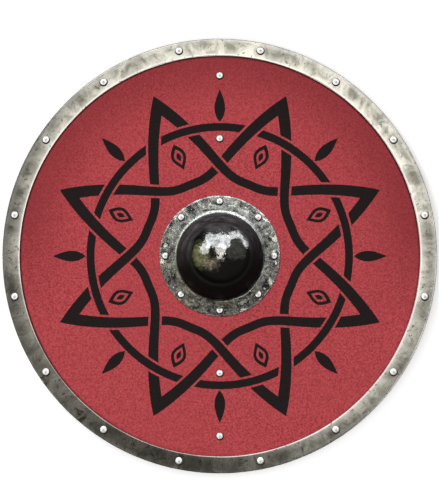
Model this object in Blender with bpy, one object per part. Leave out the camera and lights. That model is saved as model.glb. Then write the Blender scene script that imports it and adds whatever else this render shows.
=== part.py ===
# A round wooden centre-grip shield, 61 cm across, lying on its back with its face up.
#
# A plywood board is faced with painted canvas and edged with a folded steel rim. A domed steel boss
# covers the hand hole, and a wooden grip bar runs the whole height behind it. Rivets hold the rim, the
# boss and the grip bar. The origin is on the floor under the middle of the grip bar, +Z goes up through
# the boss, and +Y is the shield's top. All sizes are in metres.

import math

import bmesh
import bpy
from mathutils import Matrix, Vector

FIT_GAP = 0.0003            # left wherever one piece rests on or passes through another

SHIELD_RADIUS = 0.305
BOARD_THICKNESS = 0.010
FACING_THICKNESS = 0.001

RIM_SHEET = 0.0012
RIM_FRONT_WIDTH = 0.0244
RIM_BACK_WIDTH = 0.020
RIM_EDGE_ROUND = 0.0035     # outside radius of the fold at the shield's edge
EDGE_DROP = 0.0022          # how far the board's face falls away under the rim
BEND_SHARE = 0.4            # where across the rim that fall steepens, and how much of it is behind then
BEND_DROP_SHARE = 0.16
FACING_TUCK = 0.0065        # how far the canvas reaches in under the rim

DOME_RADIUS = 0.0596
DOME_RISE = 0.0560          # from the top of the fillet to the apex, outside
BOSS_SHEET = 0.002
BOSS_FILLET = 0.0040        # outside radius between the dome and its flange
FLANGE_WIDTH = 0.0254       # from the dome's wall to the flange's edge
HAND_HOLE_STEP = 0.0020     # how much smaller the hole in the board is than the inside of the dome

GRIP_THICKNESS = 0.018
GRIP_WIDTH = 0.036
GRIP_EDGE_BEVEL = 0.006
GRIP_CORNER_SHARE = 0.3     # how much of that bevel is left to each side where it turns the corner
GRIP_FRONT_BEVEL = 0.0008
HANDHOLD_WIDTH = 0.028      # the grip bar narrows here, so that fingers close round it
HANDHOLD_LENGTH = 0.092
HANDHOLD_BEVEL = 0.005
HANDHOLD_SHOULDER = 0.016   # over this length the bar widens again
GRIP_END_GAP = 0.013        # from the bar's end to the rim's inner edge on the back
GRIP_END_MARGIN = 0.0195    # from the last rivet's centre to the bar's end

SHANK_RADIUS = 0.0022
TAIL_RADIUS = 0.0042
TAIL_HEIGHT = 0.0013
TAIL_RECESS = 0.0005        # how deep a rivet's tail lies below the back of the grip bar
HEAD_CORNER = math.radians(42)  # where the one corner of a head's outline lies, up from its seat
CUTTER_MARGIN = 0.0035      # how far a hole's cutter stands proud of the face

RIM_RIVET_COUNT = 16
RIM_HEAD_RADIUS = 0.0059
RIM_HEAD_HEIGHT = 0.0032
BOSS_RIVET_COUNT = 8
BOSS_RIVET_EDGE = 0.0088    # from a rivet's centre to the flange's edge
BOSS_HEAD_RADIUS = 0.0054
BOSS_HEAD_HEIGHT = 0.0030
GRIP_RIVETS_PER_ARM = 2
GRIP_HEAD_RADIUS = 0.0055
GRIP_HEAD_HEIGHT = 0.0030

# How finely the round shapes are faceted: outer surfaces, then inner ones.
DISC_SEGMENTS = 48
BOSS_SEGMENTS = 40
RIVET_SEGMENTS = 8
HALF_SEGMENT = 0.5          # turns small corners away from big ones, so that no two coincide
DOME_STEPS = 6
DOME_INNER_STEPS = 5
FILLET_STEPS = 3
FILLET_INNER_STEPS = 2
FOLD_STEPS = 2
FOLD_INNER_STEPS = 1
SMOOTH_ANGLE = math.radians(30)
MERGE_DISTANCE = 1e-6

# The heights, from the floor up.
BOARD_BACK = GRIP_THICKNESS + FIT_GAP
BOARD_FRONT = BOARD_BACK + BOARD_THICKNESS
FACING_BACK = BOARD_FRONT + FIT_GAP
FACING_FRONT = FACING_BACK + FACING_THICKNESS
FLANGE_BACK = FACING_FRONT + FIT_GAP
FLANGE_FRONT = FLANGE_BACK + BOSS_SHEET
RIM_FRONT = FACING_FRONT + FIT_GAP + RIM_SHEET
RIM_BACK = BOARD_BACK - FIT_GAP - RIM_SHEET

# The radii and lengths that follow from the sizes above.
RIM_INNER_RADIUS = SHIELD_RADIUS - RIM_FRONT_WIDTH
RIM_BACK_RADIUS = SHIELD_RADIUS - RIM_BACK_WIDTH
RIM_FOLD_RADIUS = SHIELD_RADIUS - RIM_EDGE_ROUND
BEND_RADIUS = RIM_INNER_RADIUS + (RIM_FOLD_RADIUS - RIM_INNER_RADIUS) * BEND_SHARE
BEND_DROP = EDGE_DROP * BEND_DROP_SHARE
FACING_RADIUS = RIM_INNER_RADIUS + FACING_TUCK
BOARD_RADIUS = SHIELD_RADIUS - RIM_SHEET - FIT_GAP
RIM_RIVET_RING = SHIELD_RADIUS - RIM_FRONT_WIDTH / 2
FLANGE_RADIUS = DOME_RADIUS + FLANGE_WIDTH
BOSS_RIVET_RING = FLANGE_RADIUS - BOSS_RIVET_EDGE
HAND_HOLE_RADIUS = DOME_RADIUS - BOSS_SHEET - HAND_HOLE_STEP
GRIP_HALF_LENGTH = RIM_BACK_RADIUS - GRIP_END_GAP
HOLE_RADIUS = SHANK_RADIUS + FIT_GAP


def clear_scene():
    for thing in list(bpy.data.objects):
        bpy.data.objects.remove(thing)


def material(name, colour, roughness, metallic):
    """A Principled material with plain values."""
    made = bpy.data.materials.new(name)
    made.use_nodes = True
    shader = made.node_tree.nodes["Principled BSDF"]
    shader.inputs["Base Color"].default_value = (*colour, 1.0)
    shader.inputs["Roughness"].default_value = roughness
    shader.inputs["Metallic"].default_value = metallic
    made.diffuse_color = (*colour, 1.0)
    return made


def wood_material():
    return material("plywood", (0.50, 0.33, 0.17), 0.65, 0.0)


def grip_material():
    return material("grip_wood", (0.33, 0.19, 0.09), 0.55, 0.0)


def canvas_material():
    return material("red_canvas", (0.40, 0.045, 0.05), 0.85, 0.0)


def rim_material():
    return material("rim_steel", (0.55, 0.54, 0.50), 0.35, 1.0)


def boss_material():
    return material("boss_steel", (0.09, 0.085, 0.08), 0.20, 1.0)


def rivet_material():
    return material("rivet_steel", (0.75, 0.74, 0.72), 0.25, 1.0)


def add_object(name, shape, finish):
    """Puts a finished bmesh in the scene as one named object with one material."""
    bmesh.ops.recalc_face_normals(shape, faces=shape.faces)
    mesh = bpy.data.meshes.new(name)
    shape.to_mesh(mesh)
    shape.free()
    mesh.materials.append(finish)
    mesh.shade_smooth()
    mesh.set_sharp_from_angle(angle=SMOOTH_ANGLE)
    made = bpy.data.objects.new(name, mesh)
    bpy.context.scene.collection.objects.link(made)
    return made


def turned(profile, segments, closed, offset=0.0):
    """A bmesh turned about Z from (radius, height) points. An open profile starts and ends on the axis.

    The offset turns the corners away from the X axis by this share of one segment.
    """
    shape = bmesh.new()
    corners = [shape.verts.new((radius, 0, height)) for radius, height in profile]
    for first, second in zip(corners, corners[1:]):
        shape.edges.new((first, second))
    if closed:
        shape.edges.new((corners[-1], corners[0]))
    bmesh.ops.spin(
        shape, geom=shape.verts[:] + shape.edges[:], cent=(0, 0, 0), axis=(0, 0, 1),
        angle=math.tau, steps=segments, use_merge=True,
    )
    bmesh.ops.remove_doubles(shape, verts=shape.verts, dist=MERGE_DISTANCE)
    shape.transform(Matrix.Rotation(math.tau / segments * offset, 4, "Z"))
    return shape


def arc(centre, radius, start, end, steps):
    """Points of an arc in the (radius, height) plane, with both ends. Angles are in degrees."""
    angles = [math.radians(start + (end - start) * k / steps) for k in range(steps + 1)]
    return [(centre[0] + radius * math.cos(a), centre[1] + radius * math.sin(a)) for a in angles]


def slope():
    """How far the face falls for each metre outwards, beyond the bend."""
    return (EDGE_DROP - BEND_DROP) / (RIM_FOLD_RADIUS - BEND_RADIUS)


def band(level):
    """The falling part of a face under the rim, from the rim's inner edge to its fold."""
    return [
        (RIM_INNER_RADIUS, level),
        (BEND_RADIUS, level - BEND_DROP),
        (RIM_FOLD_RADIUS, level - EDGE_DROP),
    ]


def channel(inset, steps):
    """The rim's section at this depth in its sheet, from its front lip round the fold to its back lip."""
    fold = RIM_EDGE_ROUND - inset
    front_centre = (RIM_FOLD_RADIUS, RIM_FRONT - EDGE_DROP - RIM_EDGE_ROUND)
    back_centre = (RIM_FOLD_RADIUS, RIM_BACK + RIM_EDGE_ROUND)
    line = band(RIM_FRONT - inset)
    line += arc(front_centre, fold, 90, 0, steps)[1:]
    line += arc(back_centre, fold, 0, -90, steps)
    line.append((RIM_BACK_RADIUS, RIM_BACK + inset))
    return line


def build_rim():
    """The steel rim, one sheet folded round the board's edge."""
    outside = channel(0.0, FOLD_STEPS)
    inside = channel(RIM_SHEET, FOLD_INNER_STEPS)
    shape = turned(outside + inside[::-1], DISC_SEGMENTS, closed=True)
    return add_object("rim", shape, rim_material())


def build_board():
    """The plywood disc, thinned a little under the rim, with the hand hole in its middle."""
    corner = RIM_EDGE_ROUND - RIM_SHEET - FIT_GAP
    falling = band(BOARD_FRONT)
    profile = [(HAND_HOLE_RADIUS, BOARD_BACK), (HAND_HOLE_RADIUS, BOARD_FRONT)]
    profile += falling
    profile += [
        (BOARD_RADIUS, falling[-1][1] - corner),
        (BOARD_RADIUS, BOARD_BACK + corner),
        (BOARD_RADIUS - corner, BOARD_BACK),
    ]
    shape = turned(profile, DISC_SEGMENTS, closed=True)
    return add_object("board", shape, wood_material())


def build_facing():
    """The canvas glued over the board's face, tucked in under the rim as far as its rivets."""
    end_drop = BEND_DROP * FACING_TUCK / (BEND_RADIUS - RIM_INNER_RADIUS)
    profile = [
        (HAND_HOLE_RADIUS, FACING_FRONT),
        (RIM_INNER_RADIUS, FACING_FRONT),
        (FACING_RADIUS, FACING_FRONT - end_drop),
        (FACING_RADIUS, FACING_BACK - end_drop),
        (RIM_INNER_RADIUS, FACING_BACK),
        (HAND_HOLE_RADIUS, FACING_BACK),
    ]
    shape = turned(profile, DISC_SEGMENTS, closed=True)
    return add_object("facing", shape, canvas_material())


def boss_line(inset, dome_steps, fillet_steps):
    """The boss's section from its apex to its flange, at this depth in its sheet."""
    equator = FLANGE_FRONT + BOSS_FILLET
    line = []
    for k in range(dome_steps + 1):
        a = math.radians(90 - 90 * k / dome_steps)
        line.append((
            (DOME_RADIUS - inset) * math.cos(a) if k else 0.0,
            equator + (DOME_RISE - inset) * math.sin(a),
        ))
    fillet_centre = (DOME_RADIUS + BOSS_FILLET, equator)
    line += arc(fillet_centre, BOSS_FILLET + inset, 180, 270, fillet_steps)[1:]
    line.append((FLANGE_RADIUS, FLANGE_FRONT - inset))
    return line


def build_boss():
    """The domed steel boss and its flange, raised from one sheet and hollow behind."""
    outside = boss_line(0.0, DOME_STEPS, FILLET_STEPS)
    inside = boss_line(BOSS_SHEET, DOME_INNER_STEPS, FILLET_INNER_STEPS)
    shape = turned(outside + inside[::-1], BOSS_SEGMENTS, closed=False, offset=HALF_SEGMENT)
    return add_object("boss", shape, boss_material())


def grip_section(width, front_bevel):
    """Half of the grip bar's outline across it, from the board's side to the floor's side."""
    half = width / 2
    corner = GRIP_EDGE_BEVEL * GRIP_CORNER_SHARE
    return [
        (half - front_bevel, GRIP_THICKNESS),
        (half, GRIP_THICKNESS - front_bevel),
        (half, GRIP_EDGE_BEVEL),
        (half - corner, corner),
        (half - GRIP_EDGE_BEVEL, 0.0),
    ]


def build_grip():
    """The wooden grip bar, lofted along Y, narrower and rounder at the handhold."""
    hold = HANDHOLD_LENGTH / 2
    shoulder = hold + HANDHOLD_SHOULDER
    narrow = grip_section(HANDHOLD_WIDTH, HANDHOLD_BEVEL)
    middle = grip_section((HANDHOLD_WIDTH + GRIP_WIDTH) / 2, (HANDHOLD_BEVEL + GRIP_FRONT_BEVEL) / 2)
    wide = grip_section(GRIP_WIDTH, GRIP_FRONT_BEVEL)
    arm = [(hold, narrow), ((hold + shoulder) / 2, middle), (shoulder, wide), (GRIP_HALF_LENGTH, wide)]
    stations = [(-y, section) for y, section in reversed(arm)] + arm
    shape = bmesh.new()
    rings = []
    for y, section in stations:
        outline = section + [(-x, z) for x, z in reversed(section)]
        rings.append([shape.verts.new((x, y, z)) for x, z in outline])
    for near, far in zip(rings, rings[1:]):
        for k in range(len(near)):
            following = (k + 1) % len(near)
            shape.faces.new((near[k], near[following], far[following], far[k]))
    shape.faces.new(rings[0])
    shape.faces.new(rings[-1])
    return add_object("grip", shape, grip_material())


def rivet_profile(head_radius, head_height, grip_length):
    """A rivet's (radius, height) points, with height 0 on the face that its head sits on."""
    tail_seat = -grip_length - FIT_GAP
    return [
        (0.0, head_height + FIT_GAP),
        (head_radius * math.cos(HEAD_CORNER), head_height * math.sin(HEAD_CORNER) + FIT_GAP),
        (head_radius, FIT_GAP),
        (SHANK_RADIUS, FIT_GAP),
        (SHANK_RADIUS, tail_seat),
        (TAIL_RADIUS, tail_seat),
        (0.0, tail_seat - TAIL_HEIGHT),
    ]


def seat(position, lean):
    """Where a rivet stands: on this point of the face, leaning outwards by this angle."""
    bearing = math.atan2(position[1], position[0])
    return (
        Matrix.Translation(position)
        @ Matrix.Rotation(bearing, 4, "Z")
        @ Matrix.Rotation(lean, 4, "Y")
    )


def build_rivet(name, position, lean, head_radius, head_height, grip_length, finish):
    """One rivet. Its tail is peened against a level back, however much its head leans."""
    profile = rivet_profile(head_radius, head_height, grip_length)
    shape = turned(profile, RIVET_SEGMENTS, closed=False, offset=HALF_SEGMENT)
    for corner in shape.verts:
        if corner.co.z < -grip_length:
            corner.co.z += corner.co.x * math.tan(lean)
    made = add_object(name, shape, finish)
    made.matrix_world = seat(position, lean)
    return made


def build_cutter(name, position, lean, reach, recess_floor):
    """A hidden cutter for one rivet's hole. recess_floor is where its counterbore starts, if it has one."""
    profile = [(0.0, CUTTER_MARGIN), (HOLE_RADIUS, CUTTER_MARGIN)]
    if recess_floor is None:
        profile.append((HOLE_RADIUS, -reach))
    else:
        wide = TAIL_RADIUS + FIT_GAP
        profile += [(HOLE_RADIUS, -recess_floor), (wide, -recess_floor), (wide, -reach)]
    profile.append((0.0, -reach))
    shape = turned(profile, RIVET_SEGMENTS, closed=False, offset=HALF_SEGMENT)
    bmesh.ops.recalc_face_normals(shape, faces=shape.faces)
    mesh = bpy.data.meshes.new(name)
    shape.to_mesh(mesh)
    shape.free()
    made = bpy.data.objects.new(name, mesh)
    made.matrix_world = seat(position, lean)
    made.hide_render = True
    made.display_type = "WIRE"
    return made


def cutter_group(name, cutters):
    """A collection of cutters that one Boolean can take together."""
    group = bpy.data.collections.new(name)
    bpy.context.scene.collection.children.link(group)
    for cutter in cutters:
        group.objects.link(cutter)
    return group


def drill(piece, group):
    """Cuts a group of rivet holes through a piece."""
    cut = piece.modifiers.new(group.name, "BOOLEAN")
    cut.operation = "DIFFERENCE"
    cut.operand_type = "COLLECTION"
    cut.collection = group
    cut.solver = "EXACT"


def ring_points(radius, count, first_angle, height):
    """Evenly spaced points on a circle about Z."""
    turns = [first_angle + math.tau * k / count for k in range(count)]
    return [Vector((radius * math.cos(a), radius * math.sin(a), height)) for a in turns]


def rivet_rim(finish):
    """The rivets along the rim, through both of its flanges and the board."""
    lean = math.atan(slope())
    height = RIM_FRONT - EDGE_DROP + (RIM_FOLD_RADIUS - RIM_RIVET_RING) * slope()
    length = (height - RIM_BACK) / math.cos(lean)
    places = ring_points(RIM_RIVET_RING, RIM_RIVET_COUNT, math.pi / RIM_RIVET_COUNT, height)
    cutters = []
    for k, place in enumerate(places, 1):
        build_rivet(f"rim_rivet_{k:02d}", place, lean, RIM_HEAD_RADIUS, RIM_HEAD_HEIGHT, length, finish)
        cutters.append(build_cutter(f"rim_hole_{k:02d}", place, lean, length + TAIL_HEIGHT, None))
    return cutter_group("rim_rivet_holes", cutters)


def through_grip(front):
    """How long a rivet from this height to its recess in the grip bar is, and how deep its hole goes."""
    length = front - TAIL_RECESS - TAIL_HEIGHT - FIT_GAP
    return length, front + TAIL_HEIGHT


def rivet_boss(finish):
    """The rivets round the boss's flange. The top and bottom ones also hold the grip bar."""
    short_cutters = []
    long_cutters = []
    short_length = FLANGE_FRONT - BOARD_BACK
    long_length, long_reach = through_grip(FLANGE_FRONT)
    for k, place in enumerate(ring_points(BOSS_RIVET_RING, BOSS_RIVET_COUNT, 0.0, FLANGE_FRONT), 1):
        over_grip = abs(place.x) < GRIP_WIDTH / 2
        length = long_length if over_grip else short_length
        build_rivet(f"boss_rivet_{k}", place, 0.0, BOSS_HEAD_RADIUS, BOSS_HEAD_HEIGHT, length, finish)
        if over_grip:
            long_cutters.append(build_cutter(f"boss_hole_{k}", place, 0.0, long_reach, long_length))
        else:
            reach = short_length + TAIL_HEIGHT
            short_cutters.append(build_cutter(f"boss_hole_{k}", place, 0.0, reach, None))
    return cutter_group("boss_rivet_holes", short_cutters), cutter_group("long_rivet_holes", long_cutters)


def rivet_grip(finish):
    """The rivets that hold each arm of the grip bar, in line with the boss's top and bottom ones."""
    last = GRIP_HALF_LENGTH - GRIP_END_MARGIN
    pitch = (last - BOSS_RIVET_RING) / GRIP_RIVETS_PER_ARM
    distances = [BOSS_RIVET_RING + pitch * k for k in range(1, GRIP_RIVETS_PER_ARM + 1)]
    heights = distances[::-1] + [-y for y in distances]
    length, reach = through_grip(FACING_FRONT)
    cutters = []
    for k, y in enumerate(heights, 1):
        place = Vector((0.0, y, FACING_FRONT))
        build_rivet(f"grip_rivet_{k}", place, 0.0, GRIP_HEAD_RADIUS, GRIP_HEAD_HEIGHT, length, finish)
        cutters.append(build_cutter(f"grip_hole_{k}", place, 0.0, reach, length))
    return cutter_group("grip_rivet_holes", cutters)


def main():
    clear_scene()
    rim = build_rim()
    board = build_board()
    facing = build_facing()
    boss = build_boss()
    grip = build_grip()
    steel = rivet_material()
    rim_holes = rivet_rim(steel)
    boss_holes, long_holes = rivet_boss(steel)
    grip_holes = rivet_grip(steel)
    drill(rim, rim_holes)
    drill(board, rim_holes)
    for piece in (board, facing):
        for group in (boss_holes, long_holes, grip_holes):
            drill(piece, group)
    for group in (boss_holes, long_holes):
        drill(boss, group)
    for group in (long_holes, grip_holes):
        drill(grip, group)


main()
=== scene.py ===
# The looks of a round wooden shield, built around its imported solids. All lengths are in metres.
#
# The shield lies on its back, face up, and the camera looks straight down on it. Every piece is turned or
# lofted anew with a finer surface inside the solid that it replaces: dented steel for the rim, boss and
# rivets, painted canvas with a knotwork rosette on the face, plywood and a shaped grip bar behind.

from math import asin, atan, atan2, copysign, cos, degrees, hypot, pi, radians, sin, sqrt, tan, tau

import bmesh
import bpy
import numpy as np
from mathutils import Matrix, Vector, geometry, noise


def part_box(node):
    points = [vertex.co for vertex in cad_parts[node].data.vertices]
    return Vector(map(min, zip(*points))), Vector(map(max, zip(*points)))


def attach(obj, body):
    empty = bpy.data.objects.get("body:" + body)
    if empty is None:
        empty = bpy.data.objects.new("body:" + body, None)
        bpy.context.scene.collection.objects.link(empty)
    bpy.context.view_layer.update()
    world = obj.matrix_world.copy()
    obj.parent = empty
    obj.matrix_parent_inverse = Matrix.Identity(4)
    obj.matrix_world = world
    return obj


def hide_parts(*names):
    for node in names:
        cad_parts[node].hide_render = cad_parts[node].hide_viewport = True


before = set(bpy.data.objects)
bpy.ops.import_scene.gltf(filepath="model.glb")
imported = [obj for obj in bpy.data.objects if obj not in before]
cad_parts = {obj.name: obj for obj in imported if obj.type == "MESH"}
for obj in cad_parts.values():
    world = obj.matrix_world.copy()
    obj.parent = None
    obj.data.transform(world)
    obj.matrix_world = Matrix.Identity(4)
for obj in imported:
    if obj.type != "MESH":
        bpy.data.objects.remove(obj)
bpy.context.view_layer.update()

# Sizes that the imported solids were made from.
FIT_GAP = 0.0003
SHIELD_RADIUS = 0.305
RIM_SHEET = 0.0012
RIM_FRONT_WIDTH = 0.0244
RIM_BACK_WIDTH = 0.020
RIM_EDGE_ROUND = 0.0035
EDGE_DROP = 0.0022
FACING_TUCK = 0.0065
DOME_RADIUS = 0.0596
BOSS_SHEET = 0.002
BOSS_FILLET = 0.0040
FLANGE_WIDTH = 0.0254
HAND_HOLE_STEP = 0.0020
GRIP_EDGE_BEVEL = 0.006
GRIP_FRONT_BEVEL = 0.0008
HANDHOLD_WIDTH = 0.028
HANDHOLD_LENGTH = 0.092
HANDHOLD_BEVEL = 0.005
HANDHOLD_SHOULDER = 0.016
SHANK_RADIUS = 0.0022
TAIL_RADIUS = 0.0042
TAIL_HEIGHT = 0.0013
TAIL_RECESS = 0.0005
RECESS_RADIUS = 0.0045
RIM_RIVET_COUNT = 16
BOSS_RIVET_COUNT = 8
BOSS_RIVET_EDGE = 0.0088
GRIP_END_MARGIN = 0.0195
RIM_HEAD = (0.0059, 0.0032)
BOSS_HEAD = (0.0054, 0.0030)
GRIP_HEAD = (0.0055, 0.0030)

# Heights, read from the solids.
GRIP_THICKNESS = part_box("grip")[1].z
BOARD_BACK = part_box("board")[0].z
BOARD_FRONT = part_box("board")[1].z
FACING_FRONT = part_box("facing")[1].z
FACING_BACK = BOARD_FRONT + FIT_GAP
FLANGE_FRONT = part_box("boss")[0].z + BOSS_SHEET
DOME_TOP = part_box("boss")[1].z
RIM_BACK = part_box("rim")[0].z
RIM_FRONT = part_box("rim")[1].z

# Radii and lengths that follow.
RIM_INNER_RADIUS = SHIELD_RADIUS - RIM_FRONT_WIDTH
RIM_BACK_RADIUS = SHIELD_RADIUS - RIM_BACK_WIDTH
RIM_FOLD_RADIUS = SHIELD_RADIUS - RIM_EDGE_ROUND
RIM_RIVET_RING = SHIELD_RADIUS - RIM_FRONT_WIDTH / 2
BOARD_RADIUS = SHIELD_RADIUS - RIM_SHEET - FIT_GAP
FACING_RADIUS = RIM_INNER_RADIUS + FACING_TUCK
FLANGE_RADIUS = DOME_RADIUS + FLANGE_WIDTH
BOSS_RIVET_RING = FLANGE_RADIUS - BOSS_RIVET_EDGE
HAND_HOLE_RADIUS = DOME_RADIUS - BOSS_SHEET - HAND_HOLE_STEP
GRIP_HALF_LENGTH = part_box("grip")[1].y
GRIP_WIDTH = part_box("grip")[1].x * 2
DOME_FOOT = FLANGE_FRONT + BOSS_FILLET
RECESS_DEPTH = TAIL_RECESS + TAIL_HEIGHT + FIT_GAP

SUNNY_BEARING = 110         # the side that most of the light comes from, in degrees
SUNNY_SIDE = radians(SUNNY_BEARING)
RIM_SEGMENTS = 540
DISC_SEGMENTS = 288
BOSS_SEGMENTS = 240
RIVET_SEGMENTS = 28


# Meshes


def new_object(name, data):
    """A new object in the scene."""
    made = bpy.data.objects.new(name, data)
    bpy.context.scene.collection.objects.link(made)
    return made


def new_piece(name, mesh, replaced, finish=None):
    """Puts a mesh in the scene as a piece of the shield that stands for some of its solids."""
    piece = new_object(name, mesh)
    if finish:
        mesh.materials.append(finish)
    mesh.shade_smooth()
    mesh.set_sharp_from_angle(angle=radians(40))
    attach(piece, "root")
    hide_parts(*replaced)
    return piece


def polar(radius, angle):
    return (radius * cos(angle), radius * sin(angle))


def arc(centre, radius, start, end, steps):
    """Points of an arc in the (radius, height) plane, with both ends. Angles are in degrees."""
    angles = [radians(start + (end - start) * k / steps) for k in range(steps + 1)]
    return [(centre[0] + radius * cos(a), centre[1] + radius * sin(a)) for a in angles]


def directions(line):
    """The unit direction of a line of points at each of them."""
    run = np.gradient(np.array(line), axis=0)
    return run / np.linalg.norm(run, axis=1)[:, None]


def sheet_section(line, thickness, edge_round, starts_on_axis=False):
    """The closed section of a sheet behind an outer line, as points and the directions that dents take.

    Its free edges are rounded by edge_round.
    """
    outer = np.array(line)
    run = directions(line)
    into = np.column_stack([run[:, 1], -run[:, 0]])
    if starts_on_axis:
        into[0] = (0.0, -1.0)
    inner = outer + into * thickness

    def free_edge(first, second, away):
        """The points from one corner of an edge to the other, both of them rounded."""
        across = (second - first) / thickness
        away = away / np.linalg.norm(away)
        turns = np.radians(np.linspace(0, 90, 4))[:, None]
        aside, short = edge_round * (1 - np.cos(turns)), edge_round * (1 - np.sin(turns))
        start, end = first + across * aside - away * short, second - across * aside - away * short
        return np.vstack([start, end[::-1]])

    rest = slice(0 if starts_on_axis else 1, -1)
    last = free_edge(outer[-1], inner[-1], outer[-1] - outer[-2])
    points = [outer[rest], last, inner[rest][::-1]]
    push = [into[rest], np.tile(into[-1], (len(last), 1)), into[rest][::-1]]
    if not starts_on_axis:
        first = free_edge(inner[0], outer[0], outer[0] - outer[1])
        points.append(first)
        push.append(np.tile(into[0], (len(first), 1)))
    return np.vstack(points), np.vstack(push)


def turned_mesh(name, points, push=None, dent=None, segments=DISC_SEGMENTS, on_axis=False):
    """A mesh turned about Z from (radius, height) points.

    dent(x, y, z) says how far each point sinks along push. on_axis makes the first and last points poles.
    """
    def placed(j, angle):
        c, s = cos(angle), sin(angle)
        radius, height = points[j]
        if dent:
            depth = dent(radius * c, radius * s, height)
            radius += push[j][0] * depth
            height += push[j][1] * depth
        return radius * c, radius * s, height

    ring = range(1, len(points) - 1) if on_axis else range(len(points))
    row = len(ring)
    verts = [placed(j, tau * k / segments) for k in range(segments) for j in ring]
    top, bottom = len(verts), len(verts) + 1
    if on_axis:
        verts += [placed(0, 0.0), placed(len(points) - 1, 0.0)]
    faces = []
    for k in range(segments):
        here, there = k * row, (k + 1) % segments * row
        for j in range(row - 1 if on_axis else row):
            following = (j + 1) % row
            faces.append((here + j, here + following, there + following, there + j))
        if on_axis:
            faces.append((top, here, there))
            faces.append((bottom, there + row - 1, here + row - 1))
    return closed_mesh(name, verts, faces)


def closed_mesh(name, verts, faces, finishes=(), second_finish=()):
    """A closed mesh, right side out. The faces numbered in second_finish take its second material."""
    mesh = bpy.data.meshes.new(name)
    mesh.from_pydata(verts, [], faces)
    for finish in finishes:
        mesh.materials.append(finish)
    for k in second_finish:
        mesh.polygons[int(k)].material_index = 1
    mesh.validate()
    shape = bmesh.new()
    shape.from_mesh(mesh)
    for vertex in [v for v in shape.verts if not v.link_faces]:
        shape.verts.remove(vertex)
    inside_out = shape.calc_volume(signed=True) < 0
    shape.to_mesh(mesh)
    shape.free()
    if inside_out:
        mesh.flip_normals()
    return mesh


def lumps(x, y, z, scale, seed):
    """Smooth noise between 0 and 1. Its lumps are about 1 / scale across."""
    return 0.5 + 0.5 * noise.noise(Vector((x * scale + seed, y * scale - seed, z * scale + 2 * seed)))


# Steel


# Dents, as rows of depth, fineness and seed.
RIM_DENTS = ((0.00022, 45, 3.1), (0.00006, 150, 8.7))
DOME_DENTS = ((0.00040, 70, 1.3), (0.00012, 180, 5.9))
FLANGE_DENTS = ((0.00020, 80, 1.3), (0.00014, 260, 4.2))
KNOCK_DEPTH = 0.00012
KNOCK_FINENESS = 240
SHADE_LEAN = 0.22            # how much further the painted shadow round a rivet's head reaches in on its shaded side


def dent_depth(x, y, z, dents):
    return sum(depth * lumps(x, y, z, fineness, seed) for depth, fineness, seed in dents)


def rim_dent(x, y, z):
    """The rim was hammered over the board by hand."""
    return dent_depth(x, y, z, RIM_DENTS)


def boss_dent(x, y, z):
    """The dome was raised and planished by hand, and the flange is rougher."""
    return dent_depth(x, y, z, DOME_DENTS if z > DOME_FOOT else FLANGE_DENTS)


def trim_edge(mesh, edge_radius, reach, most, seed):
    """Moves a sheet's free edge away from where it should be, as a hand-cut edge wanders.

    The edge is at edge_radius. A positive reach is the sheet's side towards larger radii.
    """
    for vertex in mesh.vertices:
        x, y, z = vertex.co
        radius = hypot(x, y)
        share = 1 - (radius - edge_radius) / reach
        if 0 < share <= 1.0001:
            shift = copysign(most, reach) * share * lumps(x, y, 0, 22, seed)
            vertex.co = (x * (1 + shift / radius), y * (1 + shift / radius), z)


def face_height(radius):
    """The height of the rim's front at this radius."""
    share = (radius - RIM_INNER_RADIUS) / (RIM_FOLD_RADIUS - RIM_INNER_RADIUS)
    return RIM_FRONT - EDGE_DROP * share * share


def face_lean(radius):
    """The angle by which the rim's front leans outwards at this radius."""
    span = RIM_FOLD_RADIUS - RIM_INNER_RADIUS
    return atan(2 * EDGE_DROP * (radius - RIM_INNER_RADIUS) / span**2)


def make_rim():
    """The rim, one strip of sheet folded round the board's edge."""
    start = 90 - degrees(face_lean(RIM_FOLD_RADIUS))
    fold_start = RIM_FOLD_RADIUS + RIM_EDGE_ROUND * cos(radians(start))
    centre_height = face_height(fold_start) - RIM_EDGE_ROUND * sin(radians(start))
    line = [(r, face_height(r)) for r in np.linspace(RIM_INNER_RADIUS, fold_start, 14)[:-1]]
    line += arc((RIM_FOLD_RADIUS, centre_height), RIM_EDGE_ROUND, start, 0, 6)
    line += arc((RIM_FOLD_RADIUS, RIM_BACK + RIM_EDGE_ROUND), RIM_EDGE_ROUND, 0, -90, 6)
    line += [(r, RIM_BACK) for r in np.linspace(RIM_FOLD_RADIUS, RIM_BACK_RADIUS, 8)[1:]]
    points, push = sheet_section(line, RIM_SHEET, edge_round=0.00055)
    mesh = turned_mesh("rim_channel", points, push, rim_dent, RIM_SEGMENTS)
    trim_edge(mesh, RIM_INNER_RADIUS, reach=0.006, most=0.0012, seed=2.4)
    return new_piece("rim_channel", mesh, ["rim"], rim_steel())


def make_boss():
    """The boss, one bowl of sheet: half an ellipse, a fillet and a level flange."""
    rise = DOME_TOP - DOME_FOOT
    dome = [polar(1.0, radians(90 - 90 * k / 44)) for k in range(1, 44)]
    line = [(0.0, DOME_TOP)] + [(DOME_RADIUS * x, DOME_FOOT + rise * y) for x, y in dome]
    line += arc((DOME_RADIUS + BOSS_FILLET, DOME_FOOT), BOSS_FILLET, 180, 270, 7)
    line += [(r, FLANGE_FRONT) for r in np.linspace(DOME_RADIUS + BOSS_FILLET, FLANGE_RADIUS, 16)[1:]]
    points, push = sheet_section(line, BOSS_SHEET, edge_round=0.0006, starts_on_axis=True)
    mesh = turned_mesh("boss_bowl", points, push, boss_dent, BOSS_SEGMENTS, on_axis=True)
    trim_edge(mesh, FLANGE_RADIUS, reach=-0.005, most=0.0010, seed=6.1)
    return new_piece("boss_bowl", mesh, ["boss"], boss_steel())


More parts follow.
